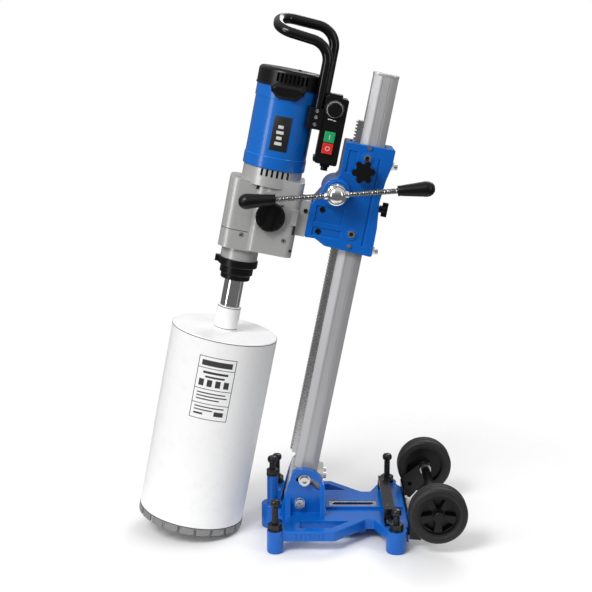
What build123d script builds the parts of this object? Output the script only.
"""Core drill rig: a tilting column stand on a cast base with a drill motor that feeds along a rack.

Frame: millimetres, +Z up, the ground at Z = 0. +X runs from the bit to the wheels, and the
operator's side is -Y. The column and everything that it carries are drawn upright, with the
origin on the tilt pivot, and lean_back() puts them at the rest angle.
"""

import os
from math import atan2, cos, degrees, pi, radians, sin

from build123d import *

# ---------------------------------------------------------------- driving dimensions
TILT = 11.0                 # column's lean from vertical at rest, top towards +X
PIVOT_X, PIVOT_Z = -5.0, 75.0
FRAME_SHIFT_X = 7.0         # puts the origin under the middle of the whole rig

# base
PLATE_BOTTOM, PLATE_TOP = 26.0, 48.0
FRONT_X, REAR_X, FOOT_Y = -58.0, 202.0, 145.0
NOSE_X = -66.0
FRONT_FOOT_R, REAR_FOOT_R, NOSE_FOOT_R = 18.0, 22.0, 25.0
NOSE_BOSS_R, NOSE_BOSS_TOP = 12.5, 120.0
REAR_EDGE_X = 232.0
EAR_IN, EAR_OUT = 38.0, 52.0
SHOE_WELL_R = 41.0          # the well that the shoe swings in
SLOT_X0, SLOT_X1, SLOT_HALF = 62.0, 168.0, 7.0
INSERT_HALF = 17.0          # half width of the steel insert round the slot
STRAP_X, STRAP_W, STRAP_T = 190.0, 24.0, 5.0
STRAP_TOP, STRAP_Y, STRAP_FOOT_Y = 80.0, 102.0, 112.0

# levelling screws
SCREW_R, SCREW_HEAD_R = 7.0, 11.0
NUT_FLATS, NUT_HEIGHT, WASHER_R, WASHER_H = 27.0, 12.0, 16.0, 3.0

# wheels
WHEEL_X, WHEEL_Z, WHEEL_R, WHEEL_WIDTH = 289.5, 90.0, 63.0, 40.0
RIM_R, SPOKE_IN, SPOKE_OUT, SPOKES = 46.0, 15.0, 39.0, 5
RIM_RECESS, WINDOW_DEPTH = 8.0, 14.0   # the web's depth inside the rim, and its windows' depth
AXLE_R = 10.0
ARM_Y, ARM_T = 122.0, 5.0
WHEEL_Y0 = ARM_Y + ARM_T + 5.0

# column and rack, upright frame
COL_X, COL_Y, COL_WALL = 26.0, 30.0, 4.5
COL_CHAMFER_X, COL_CHAMFER = 13.0, 9.0   # the corners' cuts along X and along Y
GROOVES_X, GROOVE_W, GROOVE_DEPTH = (-7.0, 9.0), 1.6, 1.0
SHOE_TOP, SHOE_BOLTS_Z = 70.0, (32.0, 60.0)
COL_Z0, COL_Z1, CAP_T = 22.0, 944.0, 6.0
GEAR_MODULE, PINION_TEETH = 2.25, 16
RACK_PITCH_X = -39.75       # the rack's pitch line
RACK_HALF, RACK_Z0, RACK_TEETH = 12.0, 98.0, 105
LOCK_RADIUS = 54.0          # pivot to tilt lock bolt
SHOE_Y = EAR_IN - 0.4

# carriage, upright frame at the rest height
PINION_R = GEAR_MODULE * PINION_TEETH / 2
PINION_PHASE = 180.0 / PINION_TEETH
PINION_X, PINION_Z = RACK_PITCH_X - PINION_R, 692.0
TEETH_BELOW = 83            # rack teeth below the one that meshes at rest
FIRST_TOOTH = PINION_Z - TEETH_BELOW * pi * GEAR_MODULE
CHEEK_Y, CHANNEL_Y, CHANNEL_X = 46.0, 33.5, 29.5
HUB_Y = -98.0               # feed rod's distance from the middle plane
ROD_ANGLE = 15.0            # feed rod's slope at rest
ROD_TIP, ROD_R = 203.0, 5.2

# drill, upright frame
TOOL_X, MOTOR_X = -233.0, -196.0
MOTOR_R, MOTOR_Z0, MOTOR_Z1 = 65.0, 713.0, 890.0
CAP_HEIGHT, CAP_ROUND = 31.0, 9.0
VENTS, VENT_X, VENT_STEP, VENT_HALF = 8, -25.0, 8.6, 2.2
VENT_LOW, VENT_HIGH = 4.0, 22.0   # the cap's slots, from the housing's top
GEARBOX_Z0, GEARBOX_Z1, GEARBOX_Y = 532.0, 706.0, 56.0
VENT_NOTCHES = 6            # cooling notches round the gearbox's neck, on each side
PAD_X0, PAD_X1, PAD_Z0, PAD_Z1 = -139.0, -127.0, 606.0, 640.0
KNOB_X, KNOB_Z = -183.0, 616.0
SPINDLE_R, SPINDLE_Z0 = 21.0, 398.0
BIT_R, BIT_WALL, BIT_Z0, BIT_Z1 = 116.0, 3.0, -80.0, 345.0
SEGMENTS, SEGMENT_H, SEGMENT_SHARE = 20, 14.0, 0.41
TRAIN_MODULE = 1.5
ARM_TEETH, LAY_BIG, LAY_SMALL, SPINDLE_TEETH = 10, 26, 12, 34
LAY_IN = TRAIN_MODULE * (ARM_TEETH + LAY_BIG) / 2
LAY_OUT = TRAIN_MODULE * (LAY_SMALL + SPINDLE_TEETH) / 2
SPAN = MOTOR_X - TOOL_X
LAY_ALONG = (LAY_OUT ** 2 - LAY_IN ** 2 + SPAN ** 2) / (2 * SPAN)
LAY_X, LAY_Y = TOOL_X + LAY_ALONG, (LAY_OUT ** 2 - LAY_ALONG ** 2) ** 0.5
LAY_BIG_Z, LAY_SMALL_Z = 680.0, 630.0

# carriage, heights counted from the pinion unless they say otherwise
ADJUSTERS = ((-7.0, 81.0), (-8.0, -82.0))      # side pads' bushings, from the pinion's height
PAD_LOCKS = ((-6.5, 103.0), (-8.0, -108.0))    # small screws over and under them
REAR_ADJUSTERS = (70.0, -116.0)                # screws behind the rear pads
LOCK_X, LOCK_DZ = -11.0, 54.0                  # carriage lock knob
FLANGE_X0, FLANGE_X1 = -124.0, -105.0          # gearbox flange against the carriage
PLATE_SCREWS = (-43.0, -90.0)                  # motor plate screws, from the pinion's height
TONGUE_Z0, TONGUE_Z1 = PINION_Z - 99.0, PINION_Z - 34.0

# handle and switch box, in the column's frame
LEG_R, LEG_X, LEG_Y = 11.0, -127.0, 40.0
LOOP_X, LOOP_Z, LOOP_DROP = -240.0, 1016.0, 24.0
CLAMP_Z0, CLAMP_Z1 = 812.0, 856.0
BOX_X0, BOX_X1, BOX_Z0, BOX_Z1 = -115.0, -67.5, 744.0, 884.0
BOX_Y0, BOX_Y1 = -52.0, 4.0
CONTROL_X, BUTTON_HALF = -93.5, 11.2
DIAL_Z, GREEN_Z, RED_Z = 859.0, 802.0, 778.0


# ---------------------------------------------------------------- helpers
def box(x0, x1, y0, y1, z0, z1):
    """A block between two corners."""
    return Pos((x0 + x1) / 2, (y0 + y1) / 2, (z0 + z1) / 2) * Box(x1 - x0, y1 - y0, z1 - z0)


def cyl_z(x, y, radius, z0, z1):
    """A cylinder along Z."""
    return Pos(x, y, (z0 + z1) / 2) * Cylinder(radius, z1 - z0)


def cyl_y(x, z, radius, y0, y1):
    """A cylinder along Y."""
    return Pos(x, (y0 + y1) / 2, z) * Rot(90, 0, 0) * Cylinder(radius, y1 - y0)


def cyl_x(y, z, radius, x0, x1):
    """A cylinder along X."""
    return Pos((x0 + x1) / 2, y, z) * Rot(0, 90, 0) * Cylinder(radius, x1 - x0)


def prism_y(points, y0, y1):
    """An outline of X and Z points, made thick along Y."""
    face = Plane.XZ * make_face(Polyline(*points, close=True))
    return Pos(0, y1, 0) * extrude(face, y1 - y0)


def prism_z(points, z0, z1):
    """An outline of X and Y points, made thick along Z."""
    return Pos(0, 0, z0) * extrude(make_face(Polyline(*points, close=True)), z1 - z0)


def hexagon_z(x, y, flats, z0, z1, bore=0.0):
    """A hexagonal nut or head along Z."""
    solid = Pos(x, y, z0) * extrude(RegularPolygon(flats / 2, 6, major_radius=False), z1 - z0)
    if bore:
        solid -= cyl_z(x, y, bore, z0 - 1, z1 + 1)
    return solid


def turned(profile):
    """A solid of revolution about Z from radius and height points."""
    face = Plane.XZ * make_face(Polyline(*profile, close=True))
    return revolve(face, Axis.Z)


def socket_bolt_y(x, z, shank, head, y_head, y_tip, depth=9.0):
    """A socket screw along Y, its head's face at y_head and its tip at y_tip."""
    way = 1 if y_tip > y_head else -1
    seat = y_head + way * depth
    bolt = cyl_y(x, z, head, min(y_head, seat), max(y_head, seat))
    bolt += cyl_y(x, z, shank, min(seat, y_tip), max(seat, y_tip))
    bottom = y_head + way * depth * 0.6
    key = Plane.XZ * RegularPolygon(head * 0.5, 6)
    return bolt - Pos(x, max(y_head, bottom), z) * extrude(key, abs(bottom - y_head))


def socket_bolt_x(y, z, shank, head, x_head, x_tip, depth=8.0):
    """A socket screw along X, its head's face at x_head and its tip at x_tip."""
    turn = Rot(0, 0, -90)
    return turn * socket_bolt_y(-y, z, shank, head, x_head, x_tip, depth)


def gear(module, teeth, width, bore, phase=0.0):
    """A spur gear about Z from Z = 0, with one tooth's middle at the phase angle."""
    radius = module * teeth / 2
    pitch = 2 * pi / teeth
    tip, root = radius + 0.8 * module, radius - 1.15 * module
    shares = ((root, -0.30), (tip, -0.11), (tip, 0.11), (root, 0.30))
    points = []
    for tooth in range(teeth):
        middle = radians(phase) + tooth * pitch
        points += [(r * cos(middle + s * pitch), r * sin(middle + s * pitch)) for r, s in shares]
    body = extrude(make_face(Polyline(*points, close=True)), width)
    if bore:
        body -= cyl_z(0, 0, bore, -1, width + 1)
    return body


def lean_back(shape):
    """Moves a shape from the upright frame to its place on the leaning column."""
    return Pos(PIVOT_X, 0, PIVOT_Z) * Rot(0, TILT, 0) * shape


def both_sides(shape):
    """A shape and its mirror image across the middle plane."""
    return [shape, mirror(shape, Plane.XZ)]


def group(shapes):
    """Separate solids in one node."""
    return Compound(children=[solid for shape in shapes for solid in shape.solids()])


# ---------------------------------------------------------------- base
FEET = {
    "front_near": (FRONT_X, -FOOT_Y, FRONT_FOOT_R, PLATE_TOP, 0.0),
    "front_far": (FRONT_X, FOOT_Y, FRONT_FOOT_R, PLATE_TOP, 0.0),
    "rear_near": (REAR_X, -FOOT_Y, REAR_FOOT_R, PLATE_TOP, -21.0),
    "rear_far": (REAR_X, FOOT_Y, REAR_FOOT_R, PLATE_TOP, 0.0),
    "nose": (NOSE_X, 0.0, NOSE_FOOT_R, NOSE_BOSS_TOP, 0.0),
}
SCREW_TIP = 24.0            # a raised screw's tip above the ground
SCREW_STAND = 69.0          # a raised screw's top above its boss


def half_plate(side):
    """Half of the base plate's outline, from the nose round one side to the rear edge."""
    return [
        (NOSE_X, side * 25.0),
        (-44.0, side * 30.0),
        (-34.0, side * 48.0),
        (-34.0, side * 92.0),
        (FRONT_X - 14.0, side * 134.0),
        (FRONT_X - 6.0, side * (FOOT_Y + 7.0)),
        (70.0, side * (FOOT_Y + 7.0)),
        (138.0, side * 84.0),
        (158.0, side * 84.0),
        (REAR_X - 16.0, side * (FOOT_Y + 6.0)),
        (REAR_X + 12.0, side * (FOOT_Y + 8.0)),
        (REAR_EDGE_X, side * 118.0),
    ]


def base_window(side):
    """One of the two windows beside the ears."""
    outline = [(-6, side * 92), (104, side * 92), (64, side * 131), (-6, side * 131)]
    return prism_z(outline, PLATE_BOTTOM - 1, PLATE_TOP + 1)


def ear(side):
    """One of the two ears that hold the column's shoe, with its ribs, bore and arc slot."""
    outline = [
        (-50, PLATE_TOP - 6), (-31, 116), (-22, 142), (-12, 152), (12, 152),
        (32, 144), (43, 130), (50, 108), (50, PLATE_TOP - 6),
    ]
    low, high = sorted((side * EAR_IN, side * EAR_OUT))
    plate = prism_y(outline, low, high)
    rib_top, rib_y = 116.0, side * (EAR_OUT + 22.0)
    rib = box(40, 50, min(side * EAR_OUT, rib_y), max(side * EAR_OUT, rib_y), PLATE_TOP - 6, rib_top)
    slope = Rot(0, 90, 0) * prism_z(
        [(-rib_top - 1, side * EAR_OUT), (-rib_top - 1, rib_y + side), (-PLATE_TOP - 2, rib_y + side)],
        30, 60,
    )
    rib -= slope
    front_rib = Pos(-76, 0, -22) * rib
    plate += rib + front_rib
    plate -= cyl_y(PIVOT_X, PIVOT_Z, 7.0, low - 1, high + 1)
    slot = [cyl_y(*lock_place(a), 7.0, low - 1, high + 1) for a in range(-2, 51, 4)]
    for piece in slot:
        plate -= piece
    return plate


def lock_place(angle):
    """The tilt lock bolt's place in X and Z at a column angle from vertical."""
    return (PIVOT_X + LOCK_RADIUS * sin(radians(angle)), PIVOT_Z + LOCK_RADIUS * cos(radians(angle)))


def base_casting():
    """The cast base: plate, feet, screw bosses, ears and ribs."""
    outline = half_plate(-1) + half_plate(1)[::-1]
    plate = prism_z(outline, PLATE_BOTTOM, PLATE_TOP)
    upright = [e for e in plate.edges().filter_by(Axis.Z) if e.center().X < REAR_EDGE_X + 1]
    plate = fillet(upright, 7.0)
    plate = chamfer(plate.faces().sort_by(Axis.Z)[-1].edges(), 2.0)
    rear_wall = box(REAR_EDGE_X - 12, REAR_EDGE_X, -114, 114, 8, PLATE_BOTTOM + 1)
    skirt = prism_z([(52, -78), (140, -70), (140, 70), (52, 78)], 12, PLATE_BOTTOM + 1)
    skirt -= box(60, 132, -64, 64, 0, 40)
    casting = plate + rear_wall + skirt
    casting += box(54, REAR_EDGE_X - 6, -24, 24, PLATE_TOP - 1, PLATE_TOP + 5)
    casting += box(-44, 52, -EAR_OUT - 2, EAR_OUT + 2, PLATE_BOTTOM, PLATE_TOP + 3)
    for x, y, radius, top, _ in FEET.values():
        if y == 0.0:
            foot = cyl_z(x, y, radius, 0, PLATE_TOP + 8)
            foot = fillet(foot.edges().filter_by(GeomType.CIRCLE), 4.0)
            casting += foot + cyl_z(x, y, NOSE_BOSS_R, PLATE_TOP, top)
            casting += box(x, -48, -6, 6, PLATE_TOP - 1, top - 34)
        else:
            foot = cyl_z(x, y, radius, 0, top + 1.5)
            casting += fillet(foot.edges().group_by(Axis.Z)[0], 4.0)
    for side in (-1, 1):
        casting += ear(side)
        casting -= base_window(side)
    casting -= cyl_y(PIVOT_X, PIVOT_Z, SHOE_WELL_R, -EAR_IN, EAR_IN)
    casting -= box(SLOT_X0, SLOT_X1, -INSERT_HALF, INSERT_HALF, PLATE_TOP + 1, PLATE_TOP + 6)
    casting -= box(SLOT_X0 + 8, SLOT_X1 - 8, -10, 10, 0, PLATE_TOP + 6)
    for x, y, _, top, _ in FEET.values():
        casting -= cyl_z(x, y, SCREW_R + 0.05, -1, top + 3)
    for y in (-70.0, 70.0):
        casting -= cyl_x(y, 37.0, 4.2, REAR_EDGE_X - 20, REAR_EDGE_X + 1)
    for side in (-1, 1):
        casting -= cyl_z(STRAP_X, side * STRAP_FOOT_Y, 4.2, PLATE_TOP - 14, PLATE_TOP + 4)
    return casting


def slot_insert():
    """The hard steel plate with the anchor slot."""
    plate = box(SLOT_X0, SLOT_X1, -INSERT_HALF, INSERT_HALF, PLATE_TOP + 1, PLATE_TOP + 4)
    slot = box(SLOT_X0 + 14, SLOT_X1 - 14, -SLOT_HALF, SLOT_HALF, PLATE_TOP - 2, PLATE_TOP + 7)
    slot += cyl_z(SLOT_X0 + 14, 0, SLOT_HALF, PLATE_TOP - 2, PLATE_TOP + 7)
    slot += cyl_z(SLOT_X1 - 14, 0, SLOT_HALF, PLATE_TOP - 2, PLATE_TOP + 7)
    return plate - slot


def boss_seat(name):
    """The height of a boss's top face."""
    _, y, _, top, _ = FEET[name]
    return top if y == 0.0 else top + 1.5


def levelling_screw(name):
    """A levelling screw: dome head, neck and plain shank down to its tip."""
    x, y, _, top, drop = FEET[name]
    seat = boss_seat(name)
    head_top = seat + SCREW_STAND - (24.0 if y == 0.0 else 0.0) + drop
    tip = SCREW_TIP + drop + (40.0 if y == 0.0 else 0.0)
    profile = [
        (0, tip), (SCREW_R - 2, tip), (SCREW_R, tip + 2), (SCREW_R, head_top - 15),
        (SCREW_HEAD_R - 2, head_top - 14), (SCREW_HEAD_R, head_top - 11), (SCREW_HEAD_R, head_top - 6),
        (SCREW_HEAD_R - 2, head_top - 2), (SCREW_HEAD_R - 6, head_top), (0, head_top),
    ]
    return Pos(x, y, 0) * turned(profile)


def levelling_nuts():
    """A washer and a hexagonal lock nut on each boss."""
    pieces = []
    for name, (x, y, _, _, _) in FEET.items():
        seat = boss_seat(name)
        washer_r = NOSE_BOSS_R + 1 if y == 0.0 else WASHER_R
        flats = NUT_FLATS - 4 if y == 0.0 else NUT_FLATS
        washer = cyl_z(x, y, washer_r, seat, seat + WASHER_H)
        pieces.append(washer - cyl_z(x, y, SCREW_R + 0.05, seat - 1, seat + WASHER_H + 1))
        nut_z = seat + WASHER_H
        pieces.append(hexagon_z(x, y, flats, nut_z, nut_z + NUT_HEIGHT, SCREW_R + 0.05))
    return group(pieces)


def pivot_bolt():
    """The bolt that the column tilts on, with its washers and nut outside the ears."""
    bolt = socket_bolt_y(PIVOT_X, PIVOT_Z, 7.0, 11.0, -EAR_OUT - 13, EAR_OUT + 14, 10.0)
    washers = []
    for low in (-EAR_OUT - 3, EAR_OUT):
        ring = cyl_y(PIVOT_X, PIVOT_Z, 12.0, low, low + 3)
        washers.append(ring - cyl_y(PIVOT_X, PIVOT_Z, 7.0, low - 1, low + 4))
    nut = Pos(PIVOT_X, EAR_OUT + 14, PIVOT_Z) * extrude(Plane.XZ * RegularPolygon(12.5, 6), 11)
    nut -= cyl_y(PIVOT_X, PIVOT_Z, 7.0, EAR_OUT, EAR_OUT + 20)
    return group([bolt, nut] + washers)


def top_strap():
    """The bent steel strap across the rear of the plate, standing on two feet."""
    x0, x1 = STRAP_X - STRAP_W / 2, STRAP_X + STRAP_W / 2
    strap = box(x0, x1, -STRAP_Y, STRAP_Y, STRAP_TOP - STRAP_T, STRAP_TOP)
    for side in (-1, 1):
        low, high = sorted((side * (STRAP_Y - STRAP_T), side * STRAP_Y))
        strap += box(x0, x1, low, high, PLATE_TOP, STRAP_TOP)
        low, high = sorted((side * (STRAP_Y - STRAP_T), side * (STRAP_Y + 20)))
        foot = box(x0, x1, low, high, PLATE_TOP, PLATE_TOP + STRAP_T)
        strap += foot - cyl_z(STRAP_X, side * STRAP_FOOT_Y, 4.2, 0, 100)
    return strap


def wheel_bracket():
    """The bent sheet bracket behind the base: a back plate and two arms to the axle."""
    x0 = REAR_EDGE_X
    bracket = box(x0, x0 + ARM_T, -ARM_Y - ARM_T, ARM_Y + ARM_T, 26, 62)
    bracket -= box(x0 - 1, x0 + 6, -60, 60, 48, 63)
    arm = [
        (x0, 20), (x0 + 24, 18), (x0 + 46, 44), (WHEEL_X + 14, WHEEL_Z - 16),
        (WHEEL_X + 15, WHEEL_Z + 4), (WHEEL_X + 4, WHEEL_Z + 15), (WHEEL_X - 14, WHEEL_Z + 10),
        (x0 + 8, 72), (x0, 62),
    ]
    for side in (-1, 1):
        low, high = sorted((side * ARM_Y, side * (ARM_Y + ARM_T)))
        plate = prism_y(arm, low, high)
        plate -= cyl_y(x0 + 22, 52, 5.0, low - 1, high + 1)
        plate -= cyl_y(WHEEL_X, WHEEL_Z, AXLE_R, low - 1, high + 1)
        bracket += plate
    for y in (-70.0, 70.0):
        bracket -= cyl_x(y, 37.0, 4.2, x0 - 1, x0 + 10)
    return bracket


def frame_bolts():
    """The screws of the wheel bracket and of the strap."""
    x0 = REAR_EDGE_X + ARM_T
    pieces = [socket_bolt_x(y, 37.0, 4.0, 7.0, x0 + 7, x0 - 22, 7.0) for y in (-70.0, 70.0)]
    seat = PLATE_TOP + STRAP_T
    for side in (-1, 1):
        x, y = STRAP_X, side * STRAP_FOOT_Y
        head = hexagon_z(x, y, 13.0, seat, seat + 6)
        pieces.append(head + cyl_z(x, y, 4.0, seat - 16, seat + 1))
    return group(pieces)


def axle():
    """The axle tube, stepped down to a journal at each wheel."""
    tube = cyl_y(WHEEL_X, WHEEL_Z, AXLE_R, -ARM_Y - ARM_T, ARM_Y + ARM_T)
    end = WHEEL_Y0 + WHEEL_WIDTH + 3
    return tube + cyl_y(WHEEL_X, WHEEL_Z, 8.0, -end, end)


def axle_rings():
    """The zinc-plated rings on the axle: a stop beside each arm and a washer at each wheel."""
    pieces = []
    for side in (-1, 1):
        inner, outer = sorted((side * (ARM_Y - 9), side * (ARM_Y - 1)))
        pieces.append(cyl_y(WHEEL_X, WHEEL_Z, AXLE_R + 3, inner, outer)
                      - cyl_y(WHEEL_X, WHEEL_Z, AXLE_R, inner - 1, outer + 1))
        inner, outer = sorted((side * (ARM_Y + ARM_T), side * (ARM_Y + ARM_T + 4)))
        pieces.append(cyl_y(WHEEL_X, WHEEL_Z, AXLE_R + 4, inner, outer)
                      - cyl_y(WHEEL_X, WHEEL_Z, 8.0, inner - 1, outer + 1))
    return group(pieces)


# ---------------------------------------------------------------- wheels
def wheel_rim(side):
    """A moulded rim: a drum with a bore and a thick web with five wedge windows, closed at the back."""
    y0, y1 = WHEEL_Y0, WHEEL_Y0 + WHEEL_WIDTH
    rim = cyl_y(0, 0, RIM_R, y0 + 2, y1 - 2)
    rim -= cyl_y(0, 0, SPOKE_OUT + 2, y1 - RIM_RECESS, y1) + cyl_y(0, 0, SPOKE_OUT + 2, y0, y0 + 12)
    rim += cyl_y(0, 0, SPOKE_IN - 1, y0, y1 - 5)
    for spoke in range(SPOKES):
        middle = 90.0 + spoke * 360.0 / SPOKES
        wedge = [
            (radius * cos(radians(middle + turn)), radius * sin(radians(middle + turn)))
            for radius, turn in ((SPOKE_IN, -15), (SPOKE_OUT, -22), (SPOKE_OUT, 22), (SPOKE_IN, 15))
        ]
        rim -= prism_y(wedge, y1 - RIM_RECESS - WINDOW_DEPTH, y1)
    rim -= cyl_y(0, 0, 8.05, y0 - 1, y1 + 1)
    rim = Pos(WHEEL_X, 0, WHEEL_Z) * rim
    return rim if side > 0 else mirror(rim, Plane.XZ)


def wheel_tyre(side):
    """A solid ribbed tyre."""
    y0, y1 = WHEEL_Y0, WHEEL_Y0 + WHEEL_WIDTH
    half = WHEEL_WIDTH / 2
    outline = [
        (RIM_R, -half + 2), (RIM_R + 4, -half), (WHEEL_R - 5, -half), (WHEEL_R - 1, -half + 3),
        (WHEEL_R, -half + 8), (WHEEL_R, -8), (WHEEL_R - 2.5, -7), (WHEEL_R - 2.5, -5), (WHEEL_R, -4),
        (WHEEL_R, 4), (WHEEL_R - 2.5, 5), (WHEEL_R - 2.5, 7), (WHEEL_R, 8),
        (WHEEL_R, half - 8), (WHEEL_R - 1, half - 3), (WHEEL_R - 5, half), (RIM_R + 4, half),
        (RIM_R, half - 2),
    ]
    tyre = Pos(WHEEL_X, side * (y0 + y1) / 2, WHEEL_Z) * Rot(90, 0, 0) * turned(outline)
    return tyre


def wheel_cap(side):
    """The push-on cap that keeps a wheel on its axle."""
    y0 = WHEEL_Y0 + WHEEL_WIDTH - 5
    cap = cyl_y(WHEEL_X, WHEEL_Z, 12.0, y0 + 0.3, y0 + 11)
    cap = fillet(cap.edges().group_by(Axis.Y)[-1], 3.0)
    cap -= cyl_y(WHEEL_X, WHEEL_Z, 8.0, y0 - 1, y0 + 8)
    return cap if side > 0 else mirror(cap, Plane.XZ)


# ---------------------------------------------------------------- column
def column_shoe():
    """The grey cast shoe: pivot bore, lock bolt bore and the socket for the profile."""
    outline = [
        (-32, -16), (-20, -26), (24, -26), (36, -12), (41, 24), (41, SHOE_TOP), (-31, SHOE_TOP), (-31, 20),
    ]
    shoe = prism_y(outline, -SHOE_Y, SHOE_Y)
    shoe -= box(-COL_X, COL_X, -COL_Y, COL_Y, COL_Z0, SHOE_TOP + 1)
    shoe -= cyl_y(0, 0, 7.05, -60, 60)
    shoe -= cyl_y(0, LOCK_RADIUS, 6.0, -60, 60)
    for z in SHOE_BOLTS_Z:
        for y in (-16.0, 16.0):
            shoe -= cyl_x(y, z, 4.0, 20, 60)
    return shoe


def column_section(grow=0.0):
    """The profile's outline: a rectangle with its four corners cut."""
    x, y = COL_X + grow, COL_Y + grow
    along, across = COL_CHAMFER_X + grow * 0.6, COL_CHAMFER + grow * 0.6
    return [(-x, -y + across), (-x + along, -y), (x - along, -y), (x, -y + across),
            (x, y - across), (x - along, y), (-x + along, y), (-x, y - across)]


def column_profile():
    """The extruded column with its hollow, its grooves and the bores of bolts."""
    profile = prism_z(column_section(), COL_Z0, COL_Z1)
    profile -= prism_z(column_section(-COL_WALL), COL_Z0 - 1, COL_Z1 + 1)
    profile -= cyl_y(0, LOCK_RADIUS, 6.0, -60, 60)
    for x in GROOVES_X:
        for y0, y1 in ((-COL_Y - 1, -COL_Y + GROOVE_DEPTH), (COL_Y - GROOVE_DEPTH, COL_Y + 1)):
            profile -= box(x - GROOVE_W / 2, x + GROOVE_W / 2, y0, y1, COL_Z0 - 1, COL_Z1 + 1)
    for z in SHOE_BOLTS_Z:
        for y in (-16.0, 16.0):
            profile -= cyl_x(y, z, 3.4, 10, 60)
    for z in rack_screw_heights():
        profile -= cyl_x(0, z, 2.5, -COL_X - 1, 0)
    return profile


def column_cap():
    """The end cap pressed into the column's top."""
    cap = prism_z(column_section(0.5), COL_Z1, COL_Z1 + CAP_T)
    cap = fillet(cap.edges().group_by(Axis.Z)[-1], 2.0)
    return cap + prism_z(column_section(-COL_WALL), COL_Z1 - 14, COL_Z1 + 1)


def rack_screw_heights():
    """Heights of the rack's screws, midway in gaps between teeth."""
    pitch = pi * GEAR_MODULE
    return [FIRST_TOOTH + pitch * (4 + 13.0 * i + 0.5) for i in range(8)]


def gear_rack():
    """The rack on the column's front face, with trapezoid teeth."""
    pitch = pi * GEAR_MODULE
    tip = RACK_PITCH_X - 0.8 * GEAR_MODULE
    root = RACK_PITCH_X + 1.15 * GEAR_MODULE
    points = [(-COL_X, RACK_Z0)]
    points.append((root, RACK_Z0))
    for tooth in range(RACK_TEETH):
        middle = FIRST_TOOTH + tooth * pitch
        points += [(root, middle - 0.28 * pitch), (tip, middle - 0.12 * pitch),
                   (tip, middle + 0.12 * pitch), (root, middle + 0.28 * pitch)]
    top = FIRST_TOOTH + (RACK_TEETH - 0.4) * pitch
    points += [(root, top), (-COL_X, top)]
    rack = prism_y(points, -RACK_HALF, RACK_HALF)
    for z in rack_screw_heights():
        rack -= cyl_x(0, z, 2.5, -60, -20) + cyl_x(0, z, 4.6, -60, root + 4.5)
    return rack


def rack_screws():
    """The cap screws that hold the rack."""
    face = RACK_PITCH_X + 1.15 * GEAR_MODULE + 0.5
    return group([socket_bolt_x(0, z, 2.5, 4.5, face, -18.0, 4.0) for z in rack_screw_heights()])


def tilt_lock_bolt():
    """The long bolt that clamps the ears on the shoe, with its washers and nut."""
    bolt = socket_bolt_y(0, LOCK_RADIUS, 6.0, 10.0, -EAR_OUT - 14, EAR_OUT + 14, 10.0)
    pieces = [bolt]
    for low in (-EAR_OUT - 3.7, EAR_OUT + 0.4):
        ring = cyl_y(0, LOCK_RADIUS, 13.0, low, low + 3)
        pieces.append(ring - cyl_y(0, LOCK_RADIUS, 6.0, low - 1, low + 4))
    nut = Pos(0, EAR_OUT + 13.5, LOCK_RADIUS) * extrude(Plane.XZ * RegularPolygon(11.0, 6), 10)
    pieces.append(nut - cyl_y(0, LOCK_RADIUS, 6.0, EAR_OUT, EAR_OUT + 20))
    return group(pieces)


def shoe_bolts():
    """Four screws through the shoe's back into the profile."""
    return group([
        socket_bolt_x(y, z, 3.4, 7.0, 48.0, 24.0, 7.0)
        for z in SHOE_BOLTS_Z for y in (-16.0, 16.0)
    ])


# ---------------------------------------------------------------- carriage
def carriage_outline():
    """The carriage casting seen from the operator's side."""
    dz = PINION_Z
    return [
        (-57, dz + 107), (48, dz + 109), (48, dz + 76), (41, dz + 42), (37, dz - 5),
        (43, dz - 61), (44, dz - 123), (-59, dz - 118), (-82, dz - 106), (FLANGE_X1, dz - 107),
        (FLANGE_X1, dz - 38), (-87, dz - 7), (-57, dz + 36),
    ]


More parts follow.
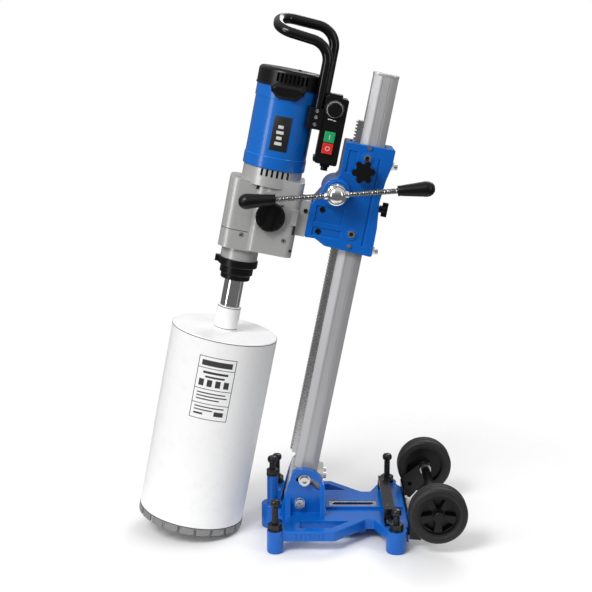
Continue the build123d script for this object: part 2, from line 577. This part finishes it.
def carriage_casting():
    """The cast carriage: two cheeks round the column, the pinion housing and the motor seat."""
    low, high = PINION_Z - 125, PINION_Z + 111
    casting = prism_y(carriage_outline(), -CHEEK_Y, CHEEK_Y)
    upright = casting.edges().filter_by(Axis.Y)
    casting = fillet(upright, 4.0)
    casting = chamfer(casting.faces().sort_by(Axis.Y)[0].edges(), 1.5)
    casting = chamfer(casting.faces().sort_by(Axis.Y)[-1].edges(), 1.5)
    casting += cyl_y(PINION_X, PINION_Z, 29.0, -CHEEK_Y - 14, CHEEK_Y + 4)
    for dx, dz in ADJUSTERS:
        for boss in both_sides(cyl_y(dx, PINION_Z + dz, 12.0, CHEEK_Y - 1, CHEEK_Y + 2.5)):
            casting += boss
    for y0, y1 in ((-CHEEK_Y - 1, -CHEEK_Y + 3), (CHEEK_Y - 3, CHEEK_Y + 1)):
        casting -= prism_y(panel(-48, -28, 45, 92), y0, y1)
        casting -= prism_y(panel(16, 22, -104, 84), y0, y1)
        casting -= prism_y(panel(-92, -32, -70, -34), y0, y1)
        casting -= prism_y(panel(-92, -30, -99, -80), y0, y1)
    casting -= box(-CHANNEL_X, CHANNEL_X, -CHANNEL_Y, CHANNEL_Y, low, high)
    casting -= box(-47, -CHANNEL_X + 1, -14, 14, low, high)
    casting -= cyl_y(PINION_X, PINION_Z, 21.8, -14, 14)
    casting -= cyl_y(PINION_X, PINION_Z, 14.0, -CHEEK_Y - 20, CHEEK_Y + 20)
    for dx, dz in ADJUSTERS:
        casting -= cyl_y(dx, PINION_Z + dz, 8.0, -60, 60)
    for dx, dz in PAD_LOCKS:
        casting -= cyl_y(dx, PINION_Z + dz, 2.5, -60, 60)
    for dz in REAR_ADJUSTERS:
        casting -= cyl_x(0, PINION_Z + dz, 5.0, CHANNEL_X - 1, 60)
    casting -= cyl_y(LOCK_X, PINION_Z + LOCK_DZ, 6.05, -60, 0)
    casting -= cyl_x(0, PINION_Z - 24, 5.05, CHANNEL_X - 1, 60)
    for dz in PLATE_SCREWS:
        casting -= cyl_y(-78.0, PINION_Z + dz, 4.0, -60, 60)
        casting -= cyl_y(-78.0, PINION_Z + dz, 6.5, -60, -CHEEK_Y + 9)
        casting -= cyl_y(-78.0, PINION_Z + dz, 6.5, CHEEK_Y - 9, 60)
    casting -= box(FLANGE_X1 - 1, -62, -CHEEK_Y + 14, CHEEK_Y - 14, TONGUE_Z0, TONGUE_Z1)
    return casting


def panel(x0, x1, z0, z1):
    """A shallow panel's corners, heights counted from the pinion."""
    return [(x0, PINION_Z + z0), (x1, PINION_Z + z0), (x1, PINION_Z + z1), (x0, PINION_Z + z1)]


def guide_pads():
    """Bearing pads between the carriage and the column's sides, back and front."""
    gap = 0.3
    pieces = []
    for dz in (-98.0, 66.0):
        z0, z1 = PINION_Z + dz, PINION_Z + dz + 30
        for side in (-1, 1):
            inner, outer = sorted((side * (COL_Y + gap), side * CHANNEL_Y))
            pieces.append(box(-12, 12, inner, outer, z0, z1))
            inner, outer = sorted((side * 15, side * (COL_Y - COL_CHAMFER)))
            pieces.append(box(-CHANNEL_X, -COL_X - gap, inner, outer, z0, z1))
        pieces.append(box(COL_X + gap, CHANNEL_X, -18, 18, z0, z1))
    return group(pieces)


def pad_adjusters():
    """Threaded bushings that press the side pads, and the small screws that lock them."""
    pieces = []
    for dx, dz in ADJUSTERS:
        bush = cyl_y(dx, PINION_Z + dz, 8.0, -CHEEK_Y - 4.5, -CHANNEL_Y)
        key = Plane.XZ * RegularPolygon(4.6, 6)
        bush -= Pos(dx, -CHEEK_Y + 4, PINION_Z + dz) * extrude(key, 10)
        pieces += both_sides(bush)
    for dx, dz in PAD_LOCKS:
        screw = socket_bolt_y(dx, PINION_Z + dz, 2.5, 4.5, -CHEEK_Y - 3.5, -CHANNEL_Y - 2, 3.5)
        pieces += both_sides(screw)
    return group(pieces)


def rear_adjusters():
    """Set screws with lock nuts behind the rear pads."""
    pieces = []
    for dz in REAR_ADJUSTERS:
        z = PINION_Z + dz
        face = 48.0 if dz > 0 else 44.0
        pieces.append(socket_bolt_x(0, z, 5.0, 6.5, face + 15, CHANNEL_X, 5.0))
        nut = Pos(face, 0, z) * extrude(Plane.YZ * RegularPolygon(9.5, 6), 7)
        pieces.append(nut - cyl_x(0, z, 5.0, face - 1, face + 10))
    return group(pieces)


def pinion_bushes():
    """Two flanged bushes pressed in the cheeks, where the pinion's shaft turns."""
    ring = cyl_y(PINION_X, PINION_Z, 14.0, 14.5, CHEEK_Y + 4) - cyl_y(PINION_X, PINION_Z, 10.05, 0, 60)
    near = cyl_y(PINION_X, PINION_Z, 14.0, -CHEEK_Y - 14, -14.5)
    return group([ring, near - cyl_y(PINION_X, PINION_Z, 10.05, -70, 0)])


def motor_plate_screws():
    """Recessed screws through both cheeks into the gearbox flange's tongue."""
    pieces = []
    for dz in PLATE_SCREWS:
        z = PINION_Z + dz
        screw = socket_bolt_y(-78.0, z, 4.0, 6.4, -CHEEK_Y + 2, -CHEEK_Y + 14, 7.0)
        pieces += both_sides(screw)
    dowel_z = PINION_Z - 52
    for side in (-1, 1):
        y0, y1 = sorted((side * (CHEEK_Y - 9), side * (CHEEK_Y + 1.5)))
        pieces.append(cyl_y(FLANGE_X0 + 12, dowel_z, 4.5, y0, y1))
    return group(pieces)


def lock_knob():
    """The black lobed knob that clamps the carriage on the column, with its screw."""
    z = PINION_Z + LOCK_DZ
    knob = cyl_y(0, 0, 12.0, -CHEEK_Y - 34, -CHEEK_Y - 9)
    for lobe in range(6):
        angle = radians(60.0 * lobe + 12.0)
        knob += cyl_y(18 * cos(angle), 18 * sin(angle), 6.5, -CHEEK_Y - 34, -CHEEK_Y - 17)
    hub = cyl_y(0, 0, 17.0, -CHEEK_Y - 33, -CHEEK_Y - 18)
    knob += hub
    knob += cyl_y(0, 0, 9.0, -CHEEK_Y - 17, -CHEEK_Y - 3.5)
    knob += cyl_y(0, 0, 6.0, -CHEEK_Y - 10, -CHANNEL_Y - 1.0)
    return Pos(LOCK_X, 0, z) * knob


def thumb_screw():
    """The black winged screw at the carriage's back."""
    z = PINION_Z - 24
    screw = cyl_x(0, z, 5.0, CHANNEL_X + 1, 52) + cyl_x(0, z, 8.0, 43.0, 56)
    wing = Pos(55, 0, z) * Box(12, 9, 30)
    return screw + wing


# ---------------------------------------------------------------- feed handle
def pinion_shaft():
    """The pinion and its shaft in one piece."""
    teeth = gear(GEAR_MODULE, PINION_TEETH, 24.0, 0.0, phase=PINION_PHASE)
    pinion = Pos(PINION_X, 12.0, PINION_Z) * Rot(90, 0, 0) * teeth
    shaft = cyl_y(PINION_X, PINION_Z, 10.0, -CHEEK_Y - 20, CHEEK_Y + 8)
    return pinion + shaft + cyl_y(PINION_X, PINION_Z, 13.0, CHEEK_Y + 4.4, CHEEK_Y + 9)


def feed_hub():
    """The polished hub: a drum on the shaft, a cross bore for the rod and a domed face."""
    y_back, y_face = -CHEEK_Y - 14.4, -CHEEK_Y - 66.0
    hub = cyl_y(PINION_X, PINION_Z, 22.0, y_face + 4, y_back)
    hub = fillet(hub.edges().filter_by(GeomType.CIRCLE), 3.0)
    hub += cyl_y(PINION_X, PINION_Z, 13.0, y_face, y_face + 10)
    hub -= cyl_y(PINION_X, PINION_Z, 10.0, -CHEEK_Y - 20, 0)
    hub -= rod_frame(cyl_x(0, 0, ROD_R, -60, 60))
    return hub


def rod_frame(shape):
    """Turns a shape drawn along X to the feed rod's slope and puts it at the hub."""
    return Pos(PINION_X, HUB_Y, PINION_Z) * Rot(0, -ROD_ANGLE, 0) * shape


def feed_rod():
    """The straight steel rod through the hub."""
    return rod_frame(cyl_x(0, 0, ROD_R, -ROD_TIP + 30, ROD_TIP - 30))


def feed_grips():
    """A tapered grip with a round end on each end of the rod."""
    profile = [(0, ROD_TIP), (7, ROD_TIP - 1), (12, ROD_TIP - 5), (15.5, ROD_TIP - 11),
               (16.5, ROD_TIP - 17), (15.5, ROD_TIP - 26), (11.5, ROD_TIP - 66), (10.5, ROD_TIP - 74),
               (8.5, ROD_TIP - 75), (0, ROD_TIP - 75)]
    grip = turned(profile) - cyl_z(0, 0, ROD_R, 0, ROD_TIP - 30)
    pieces = [rod_frame(Rot(0, turn, 0) * grip) for turn in (90, -90)]
    return group(pieces)


# ---------------------------------------------------------------- drill motor
def motor_housing():
    """The blue motor housing: a drum with two raised belts and an open inside."""
    drum = cyl_z(MOTOR_X, 0, MOTOR_R, MOTOR_Z0 + 22, MOTOR_Z1)
    drum += cyl_z(MOTOR_X, 0, MOTOR_R + 1.5, MOTOR_Z0, MOTOR_Z0 + 26)
    drum += cyl_z(MOTOR_X, 0, MOTOR_R + 1.5, MOTOR_Z1 - 32, MOTOR_Z1)
    drum = chamfer(drum.edges().filter_by(GeomType.CIRCLE).group_by(Axis.Z)[0], 1.5)
    drum -= cyl_z(MOTOR_X, 0, MOTOR_R - 4, MOTOR_Z0 - 1, MOTOR_Z1 + 1)
    return drum


def motor_cap():
    """The black end cap with its vent slots."""
    top = MOTOR_Z1 + CAP_HEIGHT
    cap = cyl_z(MOTOR_X, 0, MOTOR_R + 3, MOTOR_Z1 - 6, top)
    cap = fillet(cap.edges().filter_by(GeomType.CIRCLE).group_by(Axis.Z)[-1], CAP_ROUND)
    cap -= cyl_z(MOTOR_X, 0, MOTOR_R - 3, MOTOR_Z1 - 10, top - 4)
    cap -= cyl_z(MOTOR_X, 0, MOTOR_R + 1.5, MOTOR_Z1 - 10, MOTOR_Z1)
    for slot in range(VENTS):
        x = MOTOR_X + VENT_X + slot * VENT_STEP
        for side in (-1, 1):
            y0, y1 = sorted((side * 30, side * 80))
            cap -= box(x - VENT_HALF, x + VENT_HALF, y0, y1, MOTOR_Z1 + VENT_LOW, MOTOR_Z1 + VENT_HIGH)
    return cap


def air_scoop():
    """The hooded outlet below the vents on the operator's side, and its twin behind."""
    outline = [
        (MOTOR_X - 36, MOTOR_Z1 - 7), (MOTOR_X - 34, MOTOR_Z1 - 16), (MOTOR_X - 20, MOTOR_Z1 - 29),
        (MOTOR_X + 20, MOTOR_Z1 - 29), (MOTOR_X + 34, MOTOR_Z1 - 16), (MOTOR_X + 36, MOTOR_Z1 - 7),
        (MOTOR_X + 26, MOTOR_Z1 + 1), (MOTOR_X - 26, MOTOR_Z1 + 1),
    ]
    hood = prism_y(outline, -MOTOR_R - 11, -40)
    hood = chamfer(hood.faces().sort_by(Axis.Y)[0].edges(), 6.0)
    hood -= cyl_z(MOTOR_X, 0, MOTOR_R + 3, MOTOR_Z1 - 40, MOTOR_Z1 + 60)
    return group(both_sides(hood))


def gearbox_housing():
    """The light grey gearbox: spindle lobe, motor lobe and the flange to the carriage."""
    z0, z1, half = GEARBOX_Z0, GEARBOX_Z1, GEARBOX_Y
    lobe = box(-282, -190, -half + 7, half - 7, z0, z1 - 24)
    lobe = fillet(lobe.edges().filter_by(Axis.Z), 26.0)
    middle = box(-222, FLANGE_X0, -half, half, z0 + 3, z1 - 10)
    middle = fillet(middle.edges().filter_by(Axis.Z), 16.0)
    case = lobe + middle + cyl_z(MOTOR_X, 0, MOTOR_R - 2, z1 - 30, z1 + 7)
    case += cyl_z(TOOL_X, 0, 40.0, z0 - 26, z0 + 4)
    case += box(-140, FLANGE_X1, -CHEEK_Y + 1, CHEEK_Y - 1, PINION_Z - 107, PINION_Z - 30)
    tongue = box(FLANGE_X1 - 1, -64, -CHEEK_Y + 14.3, CHEEK_Y - 14.3, TONGUE_Z0 + 0.5, TONGUE_Z1 - 0.5)
    case += tongue
    for side in (-1, 1):
        low, high = sorted((side * (half - 1), side * (half + 2.5)))
        case += box(PAD_X0, PAD_X1, low, high, PAD_Z0, PAD_Z1)
        low, high = sorted((side * (MOTOR_R - 12), side * MOTOR_R))
        for notch in range(VENT_NOTCHES):
            x = MOTOR_X - 22 + notch * 11.0
            case -= box(x - 2.4, x + 2.4, low, high, z1 - 9, z1 + 8)
    for dz in PLATE_SCREWS:
        case -= cyl_y(-78.0, PINION_Z + dz, 4.0, -60, 60)
    cavity = box(-274, -196, -half + 14, half - 14, z0 + 8, z1 - 32)
    cavity += box(-214, -132, -half + 8, half - 8, z0 + 12, z1 - 18)
    cavity += cyl_z(MOTOR_X, 0, MOTOR_R - 9, z1 - 40, z1 + 8)
    case -= cavity
    case -= cyl_z(TOOL_X, 0, 30.0, z0 - 27, z0 + 20)
    case -= cyl_y(KNOB_X, KNOB_Z, 8.05, -half - 1, 0)
    for side in (-1, 1):
        y0, y1 = sorted((side * (CHEEK_Y - 9), side * (CHEEK_Y + 3)))
        case -= cyl_y(FLANGE_X0 + 12, PINION_Z - 52, 4.5, y0, y1)
    return case


def selector_knob():
    """The gear selector: a round knob with a grip ridge, on its spindle."""
    y = -GEARBOX_Y
    knob = cyl_y(0, 0, 31.0, y - 14, y - 0.4)
    knob = chamfer(knob.faces().sort_by(Axis.Y)[0].edges(), 2.5)
    knob += Rot(0, 11, 0) * box(-7, 7, y - 21, y - 10, -29, 29)
    return Pos(KNOB_X, 0, KNOB_Z) * (knob + cyl_y(0, 0, 8.0, y - 5, y + 22))


def nose_housing():
    """The black seal housing below the gearbox, stepped down to the spindle."""
    z = GEARBOX_Z0 - 26
    nose = cyl_z(TOOL_X, 0, 43.0, z - 16, z)
    nose += cyl_z(TOOL_X, 0, 36.0, z - 34, z - 14)
    nose += cyl_z(TOOL_X, 0, 32.0, z - 46, z - 32)
    nose = chamfer(nose.edges().filter_by(GeomType.CIRCLE), 1.5)
    nose += box(TOOL_X - 50, TOOL_X - 36, -8, 8, z - 14, z - 1)
    return nose - cyl_z(TOOL_X, 0, SPINDLE_R + 0.4, z - 50, z + 5)


def bearings():
    """Ball bearing rings: two on the spindle, two on the armature and two on the layshaft."""
    z = GEARBOX_Z0
    seats = (
        (TOOL_X, 0.0, SPINDLE_R, 30.0, z - 22, z - 8), (TOOL_X, 0.0, 12.0, 27.0, 652.0, 660.0),
        (MOTOR_X, 0.0, 7.0, 17.5, 708.0, 716.0), (MOTOR_X, 0.0, 7.0, 16.0, 898.0, 906.0),
        (LAY_X, LAY_Y, 5.0, 12.0, 578.0, 584.0), (LAY_X, LAY_Y, 5.0, 12.0, 696.0, 702.0),
    )
    pieces = []
    for x, y, inner, outer, low, high in seats:
        pieces.append(cyl_z(x, y, outer, low, high) - cyl_z(x, y, inner + 0.05, low - 1, high + 1))
    return group(pieces)


def armature():
    """The armature: shaft with its cut pinion, core, commutator and fan."""
    shaft = cyl_z(MOTOR_X, 0, 7.0, 700, 911) + cyl_z(MOTOR_X, 0, 5.0, 676, 704)
    core = cyl_z(MOTOR_X, 0, 27.0, 762, 842) + cyl_z(MOTOR_X, 0, 17.0, 858, 888)
    fan = cyl_z(MOTOR_X, 0, 48.0, 724, 734)
    toward_lay = degrees(atan2(LAY_Y, LAY_X - MOTOR_X))
    pinion = gear(TRAIN_MODULE, ARM_TEETH, 14.0, 0.0, phase=toward_lay)
    return shaft + core + fan + Pos(MOTOR_X, 0, LAY_BIG_Z) * pinion


def stator():
    """The field stack: a laminated ring with two windings' ends."""
    ring = cyl_z(MOTOR_X, 0, 57.0, 764, 840) - cyl_z(MOTOR_X, 0, 30.0, 760, 850)
    ring += cyl_z(MOTOR_X, 0, 50.0, 750, 765) - cyl_z(MOTOR_X, 0, 34.0, 740, 770)
    ring += cyl_z(MOTOR_X, 0, 50.0, 839, 852) - cyl_z(MOTOR_X, 0, 34.0, 830, 860)
    return ring - cyl_z(MOTOR_X, 0, 30.0, 700, 900)


def layshaft():
    """The layshaft with its large and small gears."""
    to_armature = degrees(atan2(-LAY_Y, MOTOR_X - LAY_X))
    to_spindle = degrees(atan2(-LAY_Y, TOOL_X - LAY_X))
    shaft = cyl_z(LAY_X, LAY_Y, 5.0, 576, 704)
    big = gear(TRAIN_MODULE, LAY_BIG, 12.0, 0.0, phase=to_armature + 180.0 / LAY_BIG)
    small = gear(TRAIN_MODULE, LAY_SMALL, 16.0, 0.0, phase=to_spindle)
    shaft += Pos(LAY_X, LAY_Y, LAY_BIG_Z + 1) * big
    return shaft + Pos(LAY_X, LAY_Y, LAY_SMALL_Z) * small


def spindle():
    """The hollow output spindle with its collar and the thread that the bit screws on."""
    body = cyl_z(TOOL_X, 0, SPINDLE_R, SPINDLE_Z0, 622) + cyl_z(TOOL_X, 0, 12.0, 620, 664)
    body = chamfer(body.edges().filter_by(GeomType.CIRCLE).group_by(Axis.Z)[0], 1.5)
    return body - cyl_z(TOOL_X, 0, 5.0, SPINDLE_Z0 - 1, 670)


def spindle_gear():
    """The final gear, keyed on the spindle's neck."""
    toward = degrees(atan2(LAY_Y, LAY_X - TOOL_X))
    wheel = gear(TRAIN_MODULE, SPINDLE_TEETH, 14.0, 12.0, phase=toward + 180.0 / SPINDLE_TEETH)
    return Pos(TOOL_X, 0, LAY_SMALL_Z + 1) * wheel


# ---------------------------------------------------------------- core bit
def core_barrel():
    """The barrel: a tube closed by a crown plate with a threaded neck."""
    inner = BIT_R - BIT_WALL
    outline = [
        (inner, BIT_Z0), (BIT_R, BIT_Z0), (BIT_R, BIT_Z1 - 2), (BIT_R - 2, BIT_Z1), (28, BIT_Z1),
        (25.5, BIT_Z1 + 4), (25.5, SPINDLE_Z0), (21, SPINDLE_Z0), (5, SPINDLE_Z0), (5, BIT_Z1 - 10),
        (inner, BIT_Z1 - 10),
    ]
    return Pos(TOOL_X, 0, 0) * turned(outline)


def bit_segments():
    """The diamond segments brazed round the barrel's edge."""
    ring = cyl_z(0, 0, BIT_R + 0.8, BIT_Z0 - SEGMENT_H, BIT_Z0)
    ring -= cyl_z(0, 0, BIT_R - BIT_WALL - 0.8, BIT_Z0 - SEGMENT_H - 1, BIT_Z0 + 1)
    share = 2 * pi / SEGMENTS
    reach = BIT_R * 1.4
    pieces = []
    for i in range(SEGMENTS):
        a0, a1 = (i - SEGMENT_SHARE) * share, (i + SEGMENT_SHARE) * share
        wedge = [(60 * cos(a0), 60 * sin(a0)), (reach * cos(a0), reach * sin(a0)),
                 (reach * cos(a1), reach * sin(a1)), (60 * cos(a1), 60 * sin(a1))]
        pieces.append(Pos(TOOL_X, 0, 0) * (ring & prism_z(wedge, BIT_Z0 - 20, BIT_Z0 + 10)))
    return group(pieces)


# ---------------------------------------------------------------- handle and switch box
def handle_tube():
    """The coated tube handle: two legs up the drill, bent forward and joined in a U."""
    near_z, far_z = LOOP_Z - LOOP_DROP, LOOP_Z
    shift = 10.0
    points = [
        (LEG_X, -LEG_Y, CLAMP_Z0), (LEG_X, -LEG_Y, near_z - 6), (LOOP_X, -LEG_Y + 2, near_z + 6),
        (LOOP_X - 2, LEG_Y - 2, far_z + 8), (LEG_X + shift, LEG_Y, far_z + 2),
        (LEG_X + shift, LEG_Y, CLAMP_Z0),
    ]
    path = FilletPolyline(*points, radius=(42.0, 34.0, 34.0, 42.0))
    section = Plane(origin=path @ 0, z_dir=path % 0) * Circle(LEG_R)
    return sweep(section, path=path)


def handle_clamp():
    """The clamp block that holds the two legs against the motor housing."""
    block = box(-147, -105.5, -56, 56, CLAMP_Z0, CLAMP_Z1)
    block = chamfer(block.edges().filter_by(Axis.Z), 4.0)
    block -= box(BOX_X0, -100, -60, BOX_Y1, CLAMP_Z0 - 1, CLAMP_Z1 + 1)
    block -= cyl_z(MOTOR_X, 0, MOTOR_R + 0.5, CLAMP_Z0 - 1, CLAMP_Z1 + 1)
    block -= cyl_z(LEG_X, -LEG_Y, LEG_R, CLAMP_Z0 - 1, CLAMP_Z1 + 1)
    block -= cyl_z(LEG_X + 10, LEG_Y, LEG_R, CLAMP_Z0 - 1, CLAMP_Z1 + 1)
    return block


def switch_box():
    """The black switch box: a hollow case with wells for the dial and the two buttons."""
    case = box(BOX_X0, BOX_X1, BOX_Y0, BOX_Y1, BOX_Z0, BOX_Z1)
    case = fillet(case.edges().filter_by(Axis.Y), 5.0)
    case += box(BOX_X0 + 6, BOX_X1 - 14, BOX_Y0 + 6, BOX_Y1 - 6, BOX_Z1 - 1, BOX_Z1 + 6)
    case += box(BOX_X0 - 3, BOX_X1 - 3, BOX_Y0 - 3, BOX_Y1, BOX_Z0 + 3, BOX_Z0 + 12)
    case -= box(BOX_X0 + 3, BOX_X1 - 3, BOX_Y0 + 3, BOX_Y1 - 3, BOX_Z0 + 14, BOX_Z1 - 3)
    case -= cyl_y(CONTROL_X, DIAL_Z, 4.05, BOX_Y0 - 1, BOX_Y0 + 10)
    for z in (GREEN_Z, RED_Z):
        well = BUTTON_HALF + 0.4
        case -= box(CONTROL_X - well, CONTROL_X + well, BOX_Y0 - 1, BOX_Y0 + 4, z - well, z + well)
    return case


def speed_dial():
    """The speed dial's knob on its spindle."""
    knob = cyl_y(CONTROL_X, DIAL_Z, 15.0, BOX_Y0 - 11, BOX_Y0 - 0.4)
    knob = chamfer(knob.faces().sort_by(Axis.Y)[0].edges(), 1.5)
    knob -= box(CONTROL_X - 0.8, CONTROL_X + 0.8, BOX_Y0 - 12, BOX_Y0 - 10, DIAL_Z + 3, DIAL_Z + 13)
    return knob + cyl_y(CONTROL_X, DIAL_Z, 4.0, BOX_Y0 - 1, BOX_Y0 + 12)


def push_button(z):
    """A square push button standing in its well."""
    button = box(CONTROL_X - BUTTON_HALF, CONTROL_X + BUTTON_HALF, BOX_Y0 - 5, BOX_Y0 + 4,
                 z - BUTTON_HALF, z + BUTTON_HALF)
    button = fillet(button.faces().sort_by(Axis.Y)[0].edges(), 1.5)
    return button + cyl_y(CONTROL_X, z, 4.0, BOX_Y0 + 3, BOX_Y0 + 14)


def cable_gland():
    """The gland where the supply lead would enter the box's foot."""
    x, y = BOX_X0 + 24, -24.0
    gland = hexagon_z(x, y, 18.0, BOX_Z0 - 7, BOX_Z0) + cyl_z(x, y, 7.5, BOX_Z0 - 15, BOX_Z0 - 6)
    return gland - cyl_z(x, y, 4.0, BOX_Z0 - 16, BOX_Z0 + 1)


# ---------------------------------------------------------------- nodes
def build_nodes():
    """Every node's name and solid, in place."""
    nodes = {
        "base_casting": base_casting(), "slot_insert": slot_insert(),
        "levelling_nuts": levelling_nuts(), "pivot_bolt": pivot_bolt(), "top_strap": top_strap(),
        "wheel_bracket": wheel_bracket(), "frame_bolts": frame_bolts(), "axle": axle(),
        "axle_rings": axle_rings(),
    }
    for name in FEET:
        nodes["levelling_screw_" + name] = levelling_screw(name)
    for word, side in (("near", -1), ("far", 1)):
        nodes[word + "_wheel_rim"] = wheel_rim(side)
        nodes[word + "_wheel_tyre"] = wheel_tyre(side)
        nodes[word + "_wheel_cap"] = wheel_cap(side)
    leaning = {
        "column_shoe": column_shoe, "column_profile": column_profile, "column_cap": column_cap,
        "gear_rack": gear_rack, "rack_screws": rack_screws, "tilt_lock_bolt": tilt_lock_bolt,
        "shoe_bolts": shoe_bolts, "carriage_casting": carriage_casting, "guide_pads": guide_pads,
        "pad_adjusters": pad_adjusters, "rear_adjusters": rear_adjusters,
        "pinion_bushes": pinion_bushes, "motor_plate_screws": motor_plate_screws,
        "lock_knob": lock_knob, "thumb_screw": thumb_screw, "pinion_shaft": pinion_shaft,
        "feed_hub": feed_hub, "feed_rod": feed_rod, "feed_grips": feed_grips,
        "motor_housing": motor_housing, "motor_cap": motor_cap, "air_scoop": air_scoop,
        "gearbox_housing": gearbox_housing, "selector_knob": selector_knob,
        "nose_housing": nose_housing, "bearings": bearings, "armature": armature, "stator": stator,
        "layshaft": layshaft, "spindle": spindle, "spindle_gear": spindle_gear,
        "core_barrel": core_barrel, "bit_segments": bit_segments, "handle_tube": handle_tube,
        "handle_clamp": handle_clamp, "switch_box": switch_box, "speed_dial": speed_dial,
        "start_button": lambda: push_button(GREEN_Z), "stop_button": lambda: push_button(RED_Z),
        "cable_gland": cable_gland,
    }
    for name, make in leaning.items():
        nodes[name] = lean_back(make())
    return nodes


os.makedirs("parts", exist_ok=True)
for node, shape in build_nodes().items():
    export_step(Pos(FRAME_SHIFT_X, 0, 0) * shape, f"parts/{node}.step")
